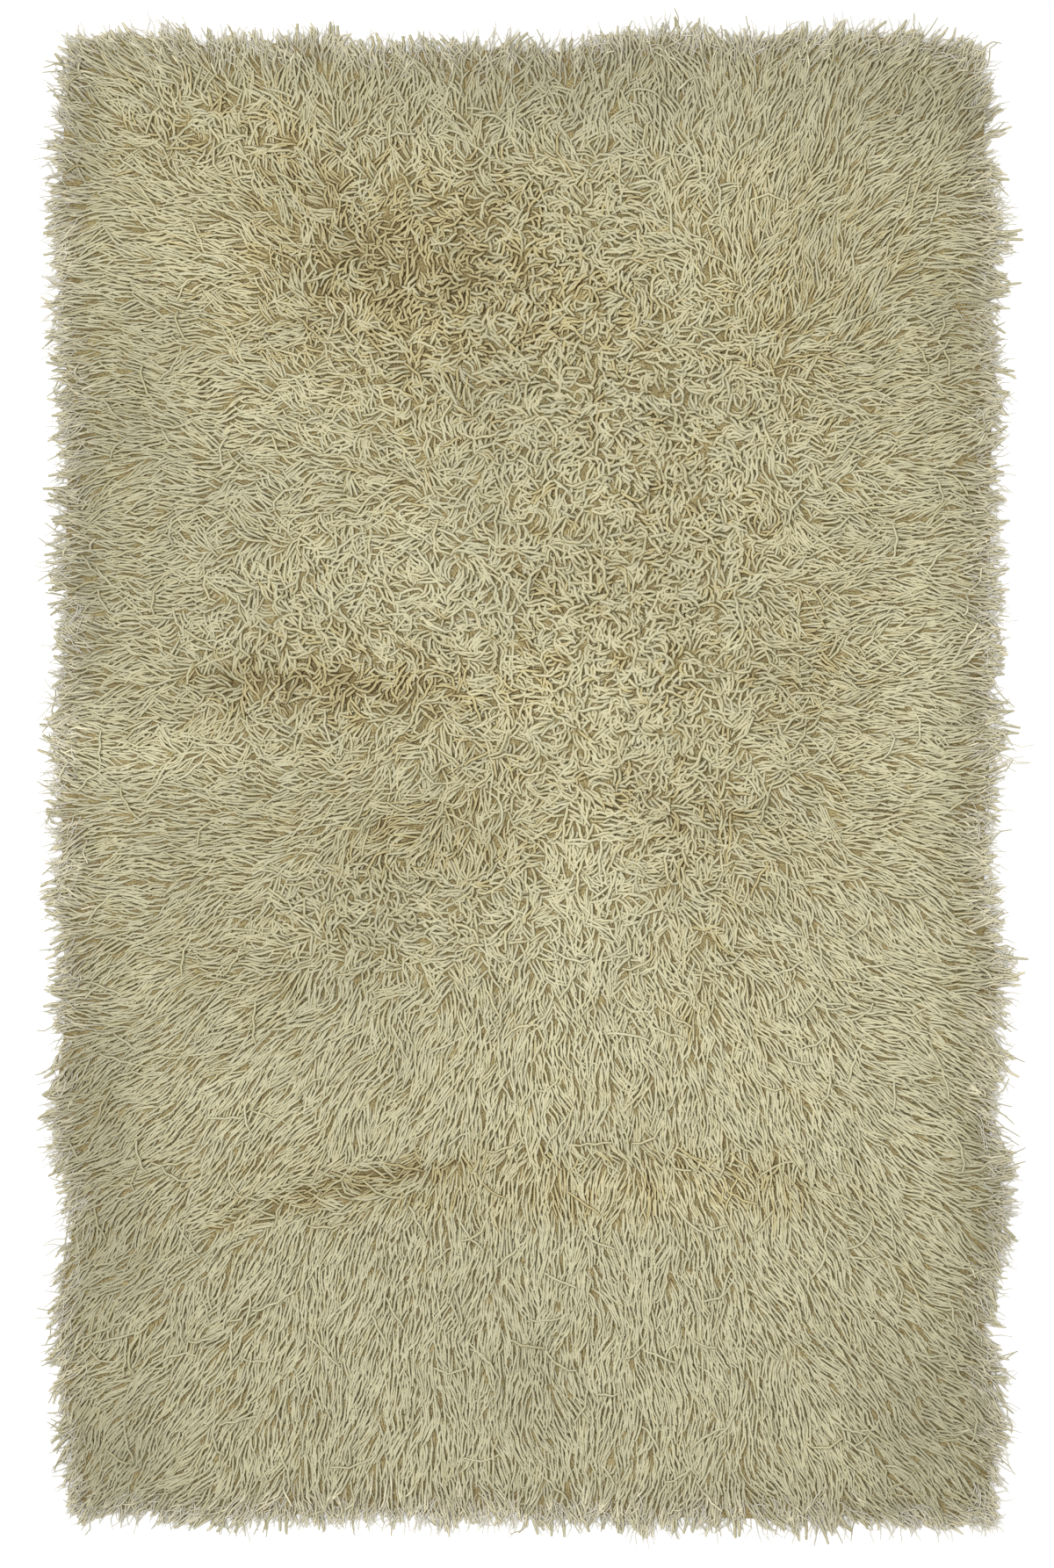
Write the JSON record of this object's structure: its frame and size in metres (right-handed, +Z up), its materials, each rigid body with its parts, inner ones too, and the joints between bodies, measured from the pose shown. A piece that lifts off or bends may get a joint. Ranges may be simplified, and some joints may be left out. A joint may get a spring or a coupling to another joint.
{
  "type": "shag rug",
  "caption": "Rectangular long-pile wool rug lying flat: a lumpy bed of combed, partly curled yarn with a ragged rim of locks all round.",
  "frame": {"origin": "centre of the rug's box, on the surface it lies on", "axes": "+X across the rug, +Y along it towards the end that is at the picture's top, +Z up out of the pile"},
  "size_m": [1.6138, 2.4898, 0.0498],
  "materials": {
    "wool_yarn": "matt undyed cream wool yarn, spun and lightly felted"
  },
  "bodies": {
    "root": {"shag_rug": "wool_yarn"}
  },
  "joints": []
}
